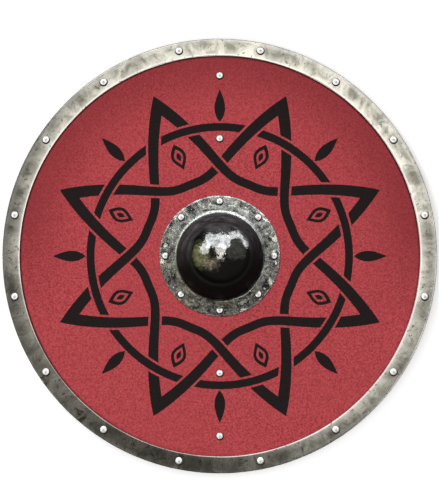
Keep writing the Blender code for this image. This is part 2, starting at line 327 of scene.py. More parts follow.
def rivet_section(head, length):
    """A rivet's (radius, height) points, from the crown of its head to the middle of its tail."""
    head_radius, head_height = head
    ball = (head_radius**2 + head_height**2) / (2 * head_height)
    half = degrees(asin(head_radius / ball))
    crown = arc((0.0, head_height - ball + FIT_GAP), ball, 90, 90 - half, 7)
    crown[0] = (0.0, crown[0][1])
    under_head = FIT_GAP - 0.0002
    seat = -length - FIT_GAP
    tail = [(TAIL_RADIUS * share, seat - TAIL_HEIGHT * (1 - share**3)) for share in (0.97, 0.85, 0.6, 0.3)]
    shank = [(head_radius - 0.0004, under_head), (SHANK_RADIUS, under_head), (SHANK_RADIUS, seat)]
    return crown + shank + [(TAIL_RADIUS, seat)] + tail + [(0.0, seat - TAIL_HEIGHT)]


def make_rivet(number, name, node, place, lean, head, length, finish):
    """One rivet, each with its own slight knocks on the head."""
    points = np.array(rivet_section(head, length))
    push = np.tile((0.0, -1.0), (len(points), 1))

    def knock(x, y, z):
        return KNOCK_DEPTH * lumps(x, y, 0, KNOCK_FINENESS, 7.3 * number) * (z > FIT_GAP)

    mesh = turned_mesh(name, points, push, knock, RIVET_SEGMENTS, on_axis=True)
    for vertex in mesh.vertices:
        if vertex.co.z < -length:
            vertex.co.z += vertex.co.x * tan(lean)
    turn = Matrix.Rotation(atan2(place[1], place[0]), 4, "Z") @ Matrix.Rotation(lean, 4, "Y")
    mesh.transform(Matrix.Translation(place) @ turn)
    mark_head(mesh, place, head[0])
    return new_piece(name, mesh, [node], finish)


def mark_head(mesh, place, head_radius):
    """Keeps how far each point of a rivet is from the head's middle, as a share of the head's radius.

    The painted shadow round the head, which reaches in further on the shaded side, has a distance of its
    own.
    """
    from_crown = mesh.attributes.new("from_crown", "FLOAT", "POINT")
    shade_reach = mesh.attributes.new("shade_reach", "FLOAT", "POINT")
    sunny = Vector((*polar(1.0, SUNNY_SIDE), 0.0))
    for vertex in mesh.vertices:
        offset = (vertex.co - place) / head_radius
        away = hypot(offset.x, offset.y)
        from_crown.data[vertex.index].value = away
        shade_reach.data[vertex.index].value = away - SHADE_LEAN * offset.dot(sunny)


def ring_points(radius, count, first_angle, height):
    return [Vector((*polar(radius, first_angle + tau * k / count), height)) for k in range(count)]


def grip_rivet_heights():
    """Where the grip bar's own rivets stand along Y, from the top down."""
    last = GRIP_HALF_LENGTH - GRIP_END_MARGIN
    middle = (last + BOSS_RIVET_RING) / 2
    return [last, middle, -middle, -last]


def make_rivets():
    """The rivets of the rim, the boss and the grip bar."""
    lean = face_lean(RIM_RIVET_RING)
    height = face_height(RIM_RIVET_RING)
    length = (height - RIM_BACK) / cos(lean)
    rows = []
    rim_places = ring_points(RIM_RIVET_RING, RIM_RIVET_COUNT, pi / RIM_RIVET_COUNT, height)
    for k, place in enumerate(rim_places, 1):
        rows.append((f"rim_stud_{k:02d}", f"rim_rivet_{k:02d}", place, lean, RIM_HEAD, length))
    for k, place in enumerate(ring_points(BOSS_RIVET_RING, BOSS_RIVET_COUNT, 0.0, FLANGE_FRONT), 1):
        over_grip = abs(place.x) < GRIP_WIDTH / 2
        length = FLANGE_FRONT - (RECESS_DEPTH if over_grip else BOARD_BACK)
        rows.append((f"boss_stud_{k}", f"boss_rivet_{k}", place, 0.0, BOSS_HEAD, length))
    length = FACING_FRONT - RECESS_DEPTH
    for k, y in enumerate(grip_rivet_heights(), 1):
        place = Vector((0.0, y, FACING_FRONT))
        rows.append((f"grip_stud_{k}", f"grip_rivet_{k}", place, 0.0, GRIP_HEAD, length))
    finish = rivet_steel()
    return [make_rivet(number, *row, finish) for number, row in enumerate(rows, 1)]


# The painted face


STRAND_ARMS = 4             # points of each woven strand
STRAND_TURN = radians(22.5)
STRAND_VALLEY = 0.108       # radius where a strand passes nearest to the boss
STRAND_TIP = 0.228          # radius of a strand's points, along its middle
STRAND_SHARPNESS = 1.45
VALLEY_WIDTH = 0.0120
TIP_WIDTH = 0.0165
TIP_OVERRUN = 0.22          # how far a side runs on past its point before it is mitred
RING_RADIUS = 0.181
RING_WIDTH = 0.0110
RING_PARTS = 16
CROSSING_GAP = 0.0030       # red left on each side of a strand where it passes over another
CROSSING_REACH = radians(6.5)
EYE_RADIUS = 0.150          # the pointed loop inside each arm
EYE_SIZE = (0.038, 0.021)
EYE_BAND = 0.0042
SPEAR_RADIUS = 0.211        # the spearhead between two arms
SPEAR_SIZE = (0.046, 0.0150)
ARM = tau / STRAND_ARMS


def strand_point(tip, step):
    """A point of a strand and its width there. step counts half arms on from the arm's tip at this angle."""
    share = (1 - sin(step * pi / 2)) ** STRAND_SHARPNESS
    radius = STRAND_VALLEY + (STRAND_TIP - STRAND_VALLEY) * share
    width = VALLEY_WIDTH + (TIP_WIDTH - VALLEY_WIDTH) * min(1.0, share)
    return polar(radius, tip + step * ARM / 2), width


def ribbon(points, widths):
    """The outline of a band that follows a line of points."""
    line, run = np.array(points), directions(points)
    side = np.column_stack([-run[:, 1], run[:, 0]]) * np.array(widths)[:, None] / 2
    return np.vstack([line + side, (line - side)[::-1]])


def strand_ribbon(tip, first, last, extra):
    """A stretch of a strand, made wider by extra on each side."""
    steps = np.linspace(first, last, max(4, round(abs(last - first) * 30)))
    places = [strand_point(tip, step) for step in steps]
    return ribbon([point for point, _ in places], [width + 2 * extra for _, width in places])


def ring_ribbon(start, end, extra):
    angles = np.linspace(start, end, max(4, round(abs(end - start) / radians(2))))
    return ribbon([polar(RING_RADIUS, a) for a in angles], [RING_WIDTH + 2 * extra] * len(angles))


def clipped(outline, normal):
    """The part of an outline on the side of a line through the axis that the normal points to."""
    kept = []
    depths = outline @ np.array(normal)
    for k, (point, depth) in enumerate(zip(outline, depths)):
        following, next_depth = outline[(k + 1) % len(outline)], depths[(k + 1) % len(outline)]
        if depth >= 0:
            kept.append(point)
        if (depth >= 0) != (next_depth >= 0):
            kept.append(point + (following - point) * depth / (depth - next_depth))
    return np.array(kept)


def strand_side(tip):
    """A strand from one point to the next, mitred at both."""
    outline = strand_ribbon(tip, -TIP_OVERRUN, 2 + TIP_OVERRUN, 0.0)
    outline = clipped(outline, polar(1.0, tip + pi / 2))
    return clipped(outline, polar(1.0, tip + ARM - pi / 2))


def leaf(radius, angle, size, fullness):
    """A leaf that points outwards. A fullness over 1 moves its widest place towards its tip."""
    length, width = size
    rows = np.linspace(0, 1, 11)
    along = radius + length * (rows - 0.5)
    across = width / 2 * np.sin(pi * rows**fullness)
    outline = np.vstack([
        np.column_stack([along, across]),
        np.column_stack([along, -across])[::-1][1:-1],
    ])
    c, s = cos(angle), sin(angle)
    return outline @ np.array([(c, s), (-s, c)])


def ring_crossing():
    """How many half arms a strand is past its point where it crosses the ring."""
    share = (RING_RADIUS - STRAND_VALLEY) / (STRAND_TIP - STRAND_VALLEY)
    return asin(1 - share ** (1 / STRAND_SHARPNESS)) / (pi / 2)


def over(outline_of, middle, reach, layers):
    """Draws a band again over what it crosses, with red left on each side of it."""
    layers.append((False, outline_of(middle - reach, middle + reach, CROSSING_GAP)))
    layers.append((True, outline_of(middle - reach * 1.3, middle + reach * 1.3, 0.0)))


def painted_layers():
    """The design as (is_black, outline) layers. A later layer covers the ones before it.

    Two pointed strands and a ring weave through each other, over and under in turn.
    """
    tips = [STRAND_TURN + ARM / 2 * k for k in range(STRAND_ARMS * 2)]
    layers = [(True, strand_side(tip)) for tip in tips]
    part = tau / RING_PARTS
    layers += [(True, ring_ribbon(part * k - part / 20, part * (k + 1), 0.0)) for k in range(RING_PARTS)]
    reach = CROSSING_REACH / (ARM / 2)
    ring_step = ring_crossing()
    for tip in tips:
        def stretch(first, last, extra):
            return strand_ribbon(tip, first, last, extra)
        over(stretch, ring_step, reach * 0.5, layers)
        over(stretch, 1.5, reach, layers)
        over(ring_ribbon, tip - ring_step * ARM / 2, CROSSING_REACH, layers)
    for tip in tips:
        for is_black, inset in ((True, 0.0), (False, EYE_BAND), (True, EYE_BAND * 1.75)):
            size = (EYE_SIZE[0] - inset * 3.4, EYE_SIZE[1] - inset * 2)
            layers.append((is_black, leaf(EYE_RADIUS, tip, size, 1.1)))
        layers.append((True, leaf(SPEAR_RADIUS, tip + ARM / 4, SPEAR_SIZE, 0.8)))
    return layers


def inside(points, outline):
    """Which points lie inside a closed outline."""
    x, y = points[:, 0], points[:, 1]
    held = np.zeros(len(points), bool)
    for (x0, y0), (x1, y1) in zip(outline, np.roll(outline, -1, axis=0)):
        if y0 == y1:
            continue
        crosses = (y0 > y) != (y1 > y)
        held ^= crosses & (x < (x1 - x0) * (y - y0) / (y1 - y0) + x0)
    return held


def triangulated(loops):
    """Flat points and triangles that keep every edge of some closed loops.

    The list that comes with them says where each point of the loops went.
    """
    points, edges = [], []
    for loop in loops:
        first = len(points)
        points += [Vector(p) for p in loop]
        edges += [(first + k, first + (k + 1) % len(loop)) for k in range(len(loop))]
    flat, _, triangles, origins, _, _ = geometry.delaunay_2d_cdt(points, edges, [], 0, 1e-7)
    home = {source: k for k, sources in enumerate(origins) for source in sources}
    return np.array([tuple(p) for p in flat]), np.array(triangles), home


def canvas_height(x, y):
    """The canvas is level, and falls a little where it tucks in under the rim."""
    beyond = max(0.0, hypot(x, y) - RIM_INNER_RADIUS)
    return FACING_FRONT - EDGE_DROP * (beyond / (RIM_FOLD_RADIUS - RIM_INNER_RADIUS)) ** 2


def make_canvas():
    """The canvas, one thin closed sheet. Its front is cut along the painted outlines."""
    layers = painted_layers()
    count = DISC_SEGMENTS
    rings = [[polar(radius, tau * k / count) for k in range(count)]
             for radius in (HAND_HOLE_RADIUS, FACING_RADIUS)]
    flat, triangles, home = triangulated(rings + [outline.tolist() for _, outline in layers])
    middles = flat[triangles].mean(axis=1)
    radius = np.linalg.norm(middles, axis=1)
    kept = (radius > HAND_HOLE_RADIUS * cos(pi / count)) & (radius < FACING_RADIUS)
    triangles, middles = triangles[kept], middles[kept]
    black = np.zeros(len(middles), bool)
    for is_black, outline in layers:
        black[inside(middles, outline)] = is_black
    verts = [(x, y, canvas_height(x, y)) for x, y in flat]
    faces = triangles.tolist()
    hole, edge = ([home[first + k] for k in range(count)] for first in (0, count))
    back = {}
    for k in hole + edge:
        back[k] = len(verts)
        x, y, z = verts[k]
        verts.append((x, y, z - FACING_FRONT + FACING_BACK))
    for k in range(count):
        following = (k + 1) % count
        near, next_near, far, next_far = hole[k], hole[following], edge[k], edge[following]
        faces.append((near, next_near, back[next_near], back[near]))
        faces.append((next_far, far, back[far], back[next_far]))
        faces.append((back[near], back[next_near], back[next_far], back[far]))
    finishes = (red_canvas(), black_paint())
    mesh = closed_mesh("canvas_face", verts, faces, finishes, np.flatnonzero(black))
    piece = new_piece("canvas_face", mesh, ["facing"])
    return piece


# Wood


def make_board():
    """The plywood disc, with eased edges at the hand hole."""
    ease = 0.0008
    corner = RIM_EDGE_ROUND - RIM_SHEET - FIT_GAP
    radii = np.linspace(RIM_INNER_RADIUS, RIM_FOLD_RADIUS, 6)
    shift = BOARD_FRONT - RIM_FRONT
    line = [(HAND_HOLE_RADIUS + ease, BOARD_BACK), (HAND_HOLE_RADIUS, BOARD_BACK + ease)]
    line += [(HAND_HOLE_RADIUS, BOARD_FRONT - ease), (HAND_HOLE_RADIUS + ease, BOARD_FRONT)]
    line += [(r, face_height(r) + shift) for r in radii]
    line += [(BOARD_RADIUS, line[-1][1] - corner), (BOARD_RADIUS, BOARD_BACK + corner)]
    line.append((BOARD_RADIUS - corner, BOARD_BACK))
    mesh = turned_mesh("plywood_disc", np.array(line))
    return new_piece("plywood_disc", mesh, ["board"], plywood())


def grip_outline(width, front_bevel):
    """The grip bar's outline across it, with every corner eased."""
    right = []
    for a in np.radians(np.linspace(0, 90, 4)):
        x, z = width / 2 - front_bevel * (1 - sin(a)), GRIP_THICKNESS - front_bevel * (1 - cos(a))
        right.append((x, z))
    for a in np.radians(np.linspace(0, 90, 6)):
        right.append((width / 2 - GRIP_EDGE_BEVEL * (1 - cos(a)), GRIP_EDGE_BEVEL * (1 - sin(a))))
    return right + [(-x, z) for x, z in reversed(right)]


def make_grip():
    """The grip bar: flat arms with eased edges, and a narrower handhold."""
    hold = HANDHOLD_LENGTH / 2
    shoulder = hold + HANDHOLD_SHOULDER
    end_ease, corner_ease = 0.0012, 0.0006
    stations = [0.0, hold * 0.5, hold]
    stations += [hold + HANDHOLD_SHOULDER * t for t in (0.2, 0.4, 0.6, 0.8, 1.0)]
    stations += list(np.linspace(shoulder, GRIP_HALF_LENGTH - end_ease, 10)[1:]) + [GRIP_HALF_LENGTH]
    stations = [-y for y in reversed(stations[1:])] + stations
    verts = []
    for y in stations:
        t = min(1.0, max(0.0, (abs(y) - hold) / HANDHOLD_SHOULDER))
        t = t * t * (3 - 2 * t)
        width = HANDHOLD_WIDTH + (GRIP_WIDTH - HANDHOLD_WIDTH) * t
        bevel = HANDHOLD_BEVEL + (GRIP_FRONT_BEVEL - HANDHOLD_BEVEL) * t
        eased = corner_ease if abs(y) >= GRIP_HALF_LENGTH else 0.0
        for x, z in grip_outline(width - 2 * eased, bevel):
            verts.append((x, y, min(max(z, eased), GRIP_THICKNESS - eased)))
    ring = len(grip_outline(1, 0))
    faces = []
    for a in range(0, ring * (len(stations) - 1), ring):
        for j in range(ring):
            following = (j + 1) % ring
            faces.append((a + j, a + following, a + ring + following, a + ring + j))
    faces.append(tuple(range(ring)))
    faces.append(tuple(range(len(verts) - ring, len(verts))))
    mesh = with_recesses(closed_mesh("grip_bar", verts, faces))
    return new_piece("grip_bar", mesh, ["grip"], grip_wood())


def with_recesses(mesh):
    """The grip bar's mesh with a round recess in its back for each rivet's tail."""
    bar = new_object("uncut_grip", mesh)
    tools = []
    for y in grip_rivet_heights() + [BOSS_RIVET_RING, -BOSS_RIVET_RING]:
        drill = bmesh.new()
        bmesh.ops.create_cone(
            drill, cap_ends=True, segments=32, radius1=RECESS_RADIUS, radius2=RECESS_RADIUS,
            depth=RECESS_DEPTH * 2, matrix=Matrix.Translation((0, y, 0)),
        )
        shape = bpy.data.meshes.new("drill")
        drill.to_mesh(shape)
        drill.free()
        tool = new_object("drill", shape)
        cut = bar.modifiers.new("cut", "BOOLEAN")
        cut.operation = "DIFFERENCE"
        cut.solver = "EXACT"
        cut.object = tool
        tools.append(tool)
    finished = bar.evaluated_get(bpy.context.evaluated_depsgraph_get())
    result = bpy.data.meshes.new_from_object(finished)
    result.name = "grip_bar"
    for helper in tools + [bar]:
        bpy.data.objects.remove(helper)
    return result


# Materials


class Nodes:
    """The node tree of a material, a light or the world, with short calls for the nodes it is made of."""

    def __init__(self, owner, source, output):
        owner.use_nodes = True
        self.owner = owner
        self.tree = owner.node_tree
        self.place = self.add(source)[output]

    def add(self, kind, inputs=None, **settings):
        """Adds a node, sets its options and fills its inputs. Returns its outputs."""
        node = self.tree.nodes.new("ShaderNode" + kind)
        for name, value in settings.items():
            setattr(node, name, value)
        for key, value in (inputs or {}).items():
            self.plug(node.inputs[key], value)
        return node.outputs

    def plug(self, socket, value):
        """Links a node's output to a socket, or sets the socket's own value."""
        if isinstance(value, bpy.types.NodeSocket):
            self.tree.links.new(value, socket)
        elif socket.type == "RGBA":
            socket.default_value = (*value, 1.0)
        else:
            socket.default_value = value

    def fill(self, name, inputs):
        """Fills the inputs of a node that the tree started with. Returns the tree's owner."""
        for key, value in inputs.items():
            self.plug(self.tree.nodes[name].inputs[key], value)
        return self.owner

    def grain(self, scale, detail=2.0, roughness=0.5, distortion=0.0, stretch=None, place=None):
        """A noise value between 0 and 1 whose lumps are about 1 / scale across."""
        place = place or self.place
        if stretch:
            place = self.add("Mapping", {"Vector": place, "Scale": stretch})["Vector"]
        inputs = {"Vector": place, "Scale": scale, "Detail": detail, "Roughness": roughness}
        return self.add("TexNoise", inputs | {"Distortion": distortion})["Fac"]

    def remap(self, value, low, high, to_low=0.0, to_high=1.0, smooth=False):
        """Maps a value from one range to another, clamped."""
        inputs = dict(enumerate((value, low, high, to_low, to_high)))
        kind = "SMOOTHSTEP" if smooth else "LINEAR"
        return self.add("MapRange", inputs, interpolation_type=kind)["Result"]

    def mixed(self, share, first, second):
        """A colour between two."""
        return self.add("Mix", {0: share, 6: first, 7: second}, data_type="RGBA")[2]

    def calc(self, operation, first, second=0.0):
        return self.add("Math", {0: first, 1: second}, operation=operation)[0]

    def plus(self, first, second):
        return self.calc("ADD", first, second)

    def minus(self, first, second):
        return self.calc("SUBTRACT", first, second)

    def times(self, first, second):
        return self.calc("MULTIPLY", first, second)

    def apart(self, first, second):
        """How far two values are apart."""
        return self.calc("ABSOLUTE", self.minus(first, second))

    def vector(self, operation, *inputs):
        return self.add("VectorMath", dict(enumerate(inputs)), operation=operation)

    def flat_place(self):
        return self.vector("MULTIPLY", self.place, (1, 1, 0))[0]

    def distance_out(self):
        """The distance from the shield's axis."""
        return self.vector("LENGTH", self.flat_place())["Value"]

    def distance_from(self, spot):
        return self.vector("DISTANCE", self.place, spot)["Value"]

    def along(self, axis):
        """How far a place is along an axis."""
        return self.vector("DOT_PRODUCT", self.place, axis)["Value"]

    def towards(self, bearing):
        """How far a place is from the shield's middle towards a bearing in degrees."""
        return self.along((*polar(1.0, radians(bearing)), 0.0))

    def spokes(self, share):
        """Coordinates that change along the shield's radius by a share of what they change round it.

        Noise in them runs across the rim with a share under 1, and along it with a share over 1.
        """
        direction = self.vector("NORMALIZE", self.flat_place())[0]
        circle = self.vector("MULTIPLY", direction, (RIM_RIVET_RING * (1 - share),) * 3)[0]
        return self.vector("MULTIPLY_ADD", self.place, (share,) * 3, circle)[0]

    def stored(self, name):
        """A value that a mesh keeps for each of its points."""
        return self.add("Attribute", attribute_name=name)["Fac"]

    def bump(self, height, distance, strength):
        return self.add("Bump", {"Height": height, "Distance": distance, "Strength": strength})["Normal"]


def new_material(name):
    """A new material's nodes, placed by the object's own coordinates."""
    return Nodes(bpy.data.materials.new(name), "TexCoord", "Object")


SHADER = "Principled BSDF"
ACROSS_SHARE = 0.72         # for stains that run across the rim
ALONG_SHARE = 3.6           # for streaks that run along it
FLANGE_DISH = tan(radians(5))     # the flange was hammered down a little towards its edge
PIT_DEPTH = 0.0007
THREAD_PITCH = 0.0011
PLY_COUNT = 7


def rim_steel():
    """Aged bare steel: pale, with olive-grey patches across the rim and brown stains, and wear and painted
    highlights along its inner edge and fold on the lit side.
    """
    n = new_material("aged_rim_steel")
    across, out = n.spokes(ACROSS_SHARE), n.distance_out()
    patches = n.grain(38, 4, 0.6, 0.8, place=across)
    colour = n.mixed(n.remap(patches, 0.38, 0.60), (0.255, 0.247, 0.200), (0.69, 0.672, 0.570))
    clouds = n.remap(n.grain(16), 0.5, 0.75, 0, 0.45)
    colour = n.mixed(clouds, colour, (0.36, 0.342, 0.265))
    # The lit side of the rim: the stains are fainter there, and the inner band and the fold are paler there,
    # partly wear and partly painted highlight.
    lit_side_and_wear = n.remap(n.towards(55), -0.29, -0.12, smooth=True)
    stains = n.grain(70, 4, 0.65, 0.9, place=across)
    stained = n.times(n.remap(stains, 0.54, 0.68), n.remap(lit_side_and_wear, 0, 1, 0.95, 0.70))
    colour = n.mixed(stained, colour, (0.14, 0.125, 0.098))
    rubbed_and_sheen = n.remap(out, RIM_INNER_RADIUS + 0.0020, RIM_INNER_RADIUS + 0.0110, 0.38, 0.0)
    edge = n.remap(out, RIM_FOLD_RADIUS - 0.0040, RIM_FOLD_RADIUS, 0.0, 0.42)
    colour = n.mixed(n.times(n.plus(rubbed_and_sheen, edge), lit_side_and_wear), colour, (0.86, 0.83, 0.76))
    # Painted highlight on the inner edge: cream on the lit side, dim brown on the shaded side.
    lip_highlight = n.remap(out, RIM_INNER_RADIUS + 0.0012, RIM_INNER_RADIUS + 0.0033, 0.80, 0.0)
    colour = n.mixed(lip_highlight, colour, n.mixed(lit_side_and_wear, (0.28, 0.235, 0.21), (0.97, 0.87, 0.80)))
    streaks = n.remap(n.grain(30, 5, 0.7, place=n.spokes(ALONG_SHARE)), 0.53, 0.66, 0.0, 0.60)
    streaks = n.times(streaks, n.remap(out, RIM_INNER_RADIUS + 0.006, RIM_RIVET_RING, 0.25, 1.0))
    colour = n.mixed(streaks, colour, (0.26, 0.250, 0.225))
    pits = n.remap(n.grain(210), 0.64, 0.70, 0.0, 0.75)
    colour = n.mixed(pits, colour, (0.085, 0.078, 0.060))
    fine = n.grain(600, 3, 0.6)
    rough = n.plus(n.remap(patches, 0.3, 0.7, 0.34, 0.22), n.remap(fine, 0.3, 0.7, -0.03, 0.05))
    normal = n.bump(n.plus(stains, fine), 0.00016, 0.8)
    return n.fill(SHADER, {"Base Color": colour, "Metallic": 1.0, "Roughness": rough, "Normal": normal})


def lifted_ring(n, out, lift, start, end):
    """Rises from 0 to 1 between two shares of the dome's radius. lift moves the ring out on its lit side."""
    lifted = n.minus(out, n.times(n.towards(70), lift))
    return n.remap(lifted, DOME_RADIUS * start, DOME_RADIUS * end, smooth=True)


def dome_colour(n, out, foot):
    """Black metal on the crown, and tarnish round its foot. The tarnish is painted lighter grey on the lit
    side, and is near black elsewhere, tinted blue-green against the red light that the canvas throws on it.
    """
    crown = n.mixed(n.grain(90, 3, 0.6), (0.080, 0.076, 0.072), (0.120, 0.116, 0.110))
    smudges = n.remap(n.grain(55, 4, 0.70, stretch=(1, 1, 2.2)), 0.38, 0.60)
    lit_foot_colour = n.mixed(smudges, (0.018, 0.016, 0.018), (0.104, 0.098, 0.104))
    dark_ring = n.remap(n.apart(out, DOME_RADIUS * 0.80), 0.0008, 0.0035, 0.75, 0.0, smooth=True)
    lit_foot_colour = n.mixed(dark_ring, lit_foot_colour, (0.016, 0.015, 0.016))
    outermost = n.remap(out, DOME_RADIUS * 0.91, DOME_RADIUS * 0.96, 0.0, 0.5)
    lit_foot_colour = n.mixed(outermost, lit_foot_colour, (0.018, 0.018, 0.018))
    # Painted light: the foot is lighter grey on the lit side.
    lit_side = n.remap(n.towards(100), -0.015, 0.050, smooth=True)
    tarnish = lifted_ring(n, out, 0.16, 0.53, 0.69)
    colour = n.mixed(tarnish, crown, n.mixed(lit_side, (0.036, 0.034, 0.031), lit_foot_colour))
    return n.mixed(foot, colour, n.mixed(lit_side, (0.0022, 0.0036, 0.0036), lit_foot_colour))


def flange_colour(n, out, mottle, broad):
    """What is left of the black scale on grey steel, with pale specks and chips."""
    tint = n.mixed(n.remap(n.grain(34), 0.42, 0.60), (0.168, 0.166, 0.163), (0.170, 0.168, 0.143))
    scale_gone = n.remap(n.plus(mottle, n.times(broad, 0.7)), 0.69, 1.05)
    colour = n.mixed(scale_gone, (0.010, 0.0097, 0.0093), tint)
    specks = n.remap(n.grain(420, 2, 0.6), 0.62, 0.74, 0, 0.7)
    colour = n.mixed(specks, colour, (0.33, 0.325, 0.305))
    chips = n.remap(n.grain(105), 0.60, 0.65, 0.0, 0.85)
    chips = n.times(chips, n.remap(out, DOME_RADIUS + 0.009, DOME_RADIUS + 0.018))
    return n.mixed(chips, colour, (0.40, 0.385, 0.335))


def flange_wear_and_highlights(n, out, mottle, broad, colour):
    """The flange's colour with painted highlights round the dome on the lit side, a scratch, and a pale edge
    that is partly wear and partly painted highlight, brightest towards one side.
    """
    sunny = n.towards(SUNNY_BEARING)
    patchy = n.remap(mottle, 0.35, 0.60, 0.45, 1.0)
    # Painted highlight: a pale band and a brighter line round the foot of the dome, on the lit side only.
    fillet = n.remap(out, DOME_RADIUS + 0.0065, DOME_RADIUS + 0.0020, 0.0, 0.45)
    fillet = n.times(fillet, n.remap(sunny, -0.04, 0.04, 0.20, 1.0))
    colour = n.mixed(n.times(fillet, patchy), colour, (0.31, 0.305, 0.29))
    wander = n.plus(out, n.times(broad, 0.005))
    line = n.remap(wander, DOME_RADIUS + 0.0056, DOME_RADIUS + 0.0040)
    line = n.times(line, n.remap(sunny, 0.008, 0.056, 0.0, 0.95))
    colour = n.mixed(n.times(line, patchy), colour, (0.52, 0.515, 0.49))
    scratch = n.remap(n.apart(wander, DOME_RADIUS + 0.0066), 0.0006, 0.0002)
    scratch = n.times(scratch, n.remap(n.grain(17), 0.52, 0.58, 0.0, 0.7))
    colour = n.mixed(scratch, colour, (0.45, 0.44, 0.42))
    # Wear and painted highlight: a paler outer edge, strongest towards one side.
    recolour_share = n.remap(out, FLANGE_RADIUS - 0.0028, FLANGE_RADIUS - 0.0004, 0.0, 0.85)
    recolour_share = n.times(recolour_share, n.remap(n.towards(45), -0.085, 0.04, 0.62, 1.0))
    bright = n.mixed(n.remap(mottle, 0.44, 0.62), (0.13, 0.127, 0.119), (0.46, 0.45, 0.42))
    return n.mixed(recolour_share, colour, bright)


def boss_steel():
    """Blackened steel: polished on the dome, dull at its foot, pitted on the flange and pale at its edge,
    with painted highlights on the lit side of the foot and the flange.
    """
    n = new_material("blackened_boss_steel")
    out = n.distance_out()
    on_flange = n.remap(out, DOME_RADIUS - 0.0002, DOME_RADIUS + 0.0008)
    foot = lifted_ring(n, out, 0.07, 0.64, 0.78)
    mottle = n.grain(150, 5, 0.70, 0.9)
    broad = n.grain(52, 3, 0.55, 0.8)
    flange = flange_wear_and_highlights(n, out, mottle, broad, flange_colour(n, out, mottle, broad))
    dome_rough = n.plus(n.remap(n.grain(130, 4, 0.6), 0.3, 0.7, 0.06, 0.14), n.times(foot, 0.45))
    flange_rough = n.remap(mottle, 0.3, 0.7, 0.44, 0.30)
    planished = n.times(n.grain(230, 1), n.remap(on_flange, 0, 1, 0.34, 0.0))
    dish = n.times(n.times(out, on_flange), -FLANGE_DISH / PIT_DEPTH)
    height = n.plus(n.plus(n.times(mottle, on_flange), planished), dish)
    return n.fill(SHADER, {
        "Base Color": n.mixed(on_flange, dome_colour(n, out, foot), flange),
        "Metallic": n.calc("MAXIMUM", n.minus(1.0, foot), on_flange),
        "Roughness": n.add("Mix", {0: on_flange, 2: dome_rough, 3: flange_rough})[0],
        "Specular IOR Level": 0.1,
        "Specular Tint": (0.6, 0.6, 0.6),
        "Normal": n.bump(height, PIT_DEPTH, 0.8),
    })


def rivet_steel():
    """Bright domed steel, lightly scratched, with a painted dim reflection in the middle of each head and a
    painted shadow round its foot.
    """
    n = new_material("bright_rivet_steel")
    spots = n.grain(420, 3, 0.6)
    colour = n.mixed(n.remap(spots, 0.35, 0.7), (0.84, 0.83, 0.81), (0.62, 0.61, 0.58))
    # Painted reflection: a dim grey middle on each head, standing for what the domed steel mirrors straight
    # above it.
    recolour_share = n.remap(n.stored("from_crown"), 0.46, 0.12, 0.0, 0.8, smooth=True)
    colour = n.mixed(recolour_share, colour, (0.26, 0.256, 0.245))
    # Painted shadow: near black round the foot of each head, reaching further in on the side away from the
    # light.
    painted_shade = n.remap(n.stored("shade_reach"), 0.70, 0.86, 0.0, 0.97)
    return n.fill(SHADER, {
        "Base Color": n.mixed(painted_shade, colour, (0.026, 0.023, 0.020)),
        "Metallic": 0.72,
        "Roughness": n.remap(spots, 0.3, 0.7, 0.14, 0.28),
        "Normal": n.bump(spots, 0.00008, 0.6),
    })


def weave(n):
    """A plain weave's height, from 0 to 1: threads pass over and under each other."""
    inputs = {"Vector": n.place, "Scale": 1 / THREAD_PITCH / 20 * tau, "Distortion": 0.6, "Detail": 2.0}
    warp, weft = (n.add("TexWave", inputs, bands_direction=axis)["Fac"] for axis in "XY")
    return n.times(warp, weft)


def cloth_paint(name, pale, dark, rim_shade_colour, roughness):
    """Matte paint soaked into canvas: grainy and clouded, with painted shade towards the rim that is
    strongest at the top, and a painted shadow line just inside the rim.
    """
    n = new_material(name)
    out = n.distance_out()
    speckle = n.grain(430, 4, 0.75)
    colour = n.mixed(n.remap(speckle, 0.355, 0.625), dark, pale)
    clouds = n.remap(n.grain(10, 3, 0.55), 0.35, 0.7, 0.30, 0.0)
    colour = n.mixed(clouds, colour, n.mixed(0.5, dark, pale))
    # Painted shade: darker towards the rim, most at the top, where less light reaches the canvas.
    near_rim = n.remap(out, RIM_INNER_RADIUS - 0.090, RIM_INNER_RADIUS, 0.0, 0.60, smooth=True)
    on_top = n.remap(n.along((0, 1, 0)), -0.12, 0.06, smooth=True)
    colour = n.mixed(n.times(near_rim, on_top), colour, rim_shade_colour)
    # Painted shadow: a dark line just inside the rim, strongest on the side the light comes from, where the
    # rim's edge shades the canvas.
    rim_shadow = n.remap(out, RIM_INNER_RADIUS - 0.0034, RIM_INNER_RADIUS - 0.0012, 0.0, 0.95)
    rim_shadow = n.times(rim_shadow, n.remap(n.towards(115), -0.26, 0.0, 0.15, 1.0))
    return n.fill(SHADER, {
        "Base Color": n.mixed(rim_shadow, colour, (0.036, 0.007, 0.007)),
        "Roughness": roughness,
        "Specular IOR Level": 0.2,
        "Normal": n.bump(n.plus(n.times(weave(n), 0.5), speckle), 0.00028, 0.7),
    })


def red_canvas():
    pale, dark, rim_shade_colour = (0.590, 0.092, 0.102), (0.245, 0.026, 0.032), (0.190, 0.023, 0.028)
    return cloth_paint("red_painted_canvas", pale, dark, rim_shade_colour, 0.80)


def black_paint():
    pale, dark, rim_shade_colour = (0.021, 0.014, 0.014), (0.011, 0.0085, 0.0085), (0.012, 0.009, 0.009)
    return cloth_paint("black_painted_canvas", pale, dark, rim_shade_colour, 0.65)


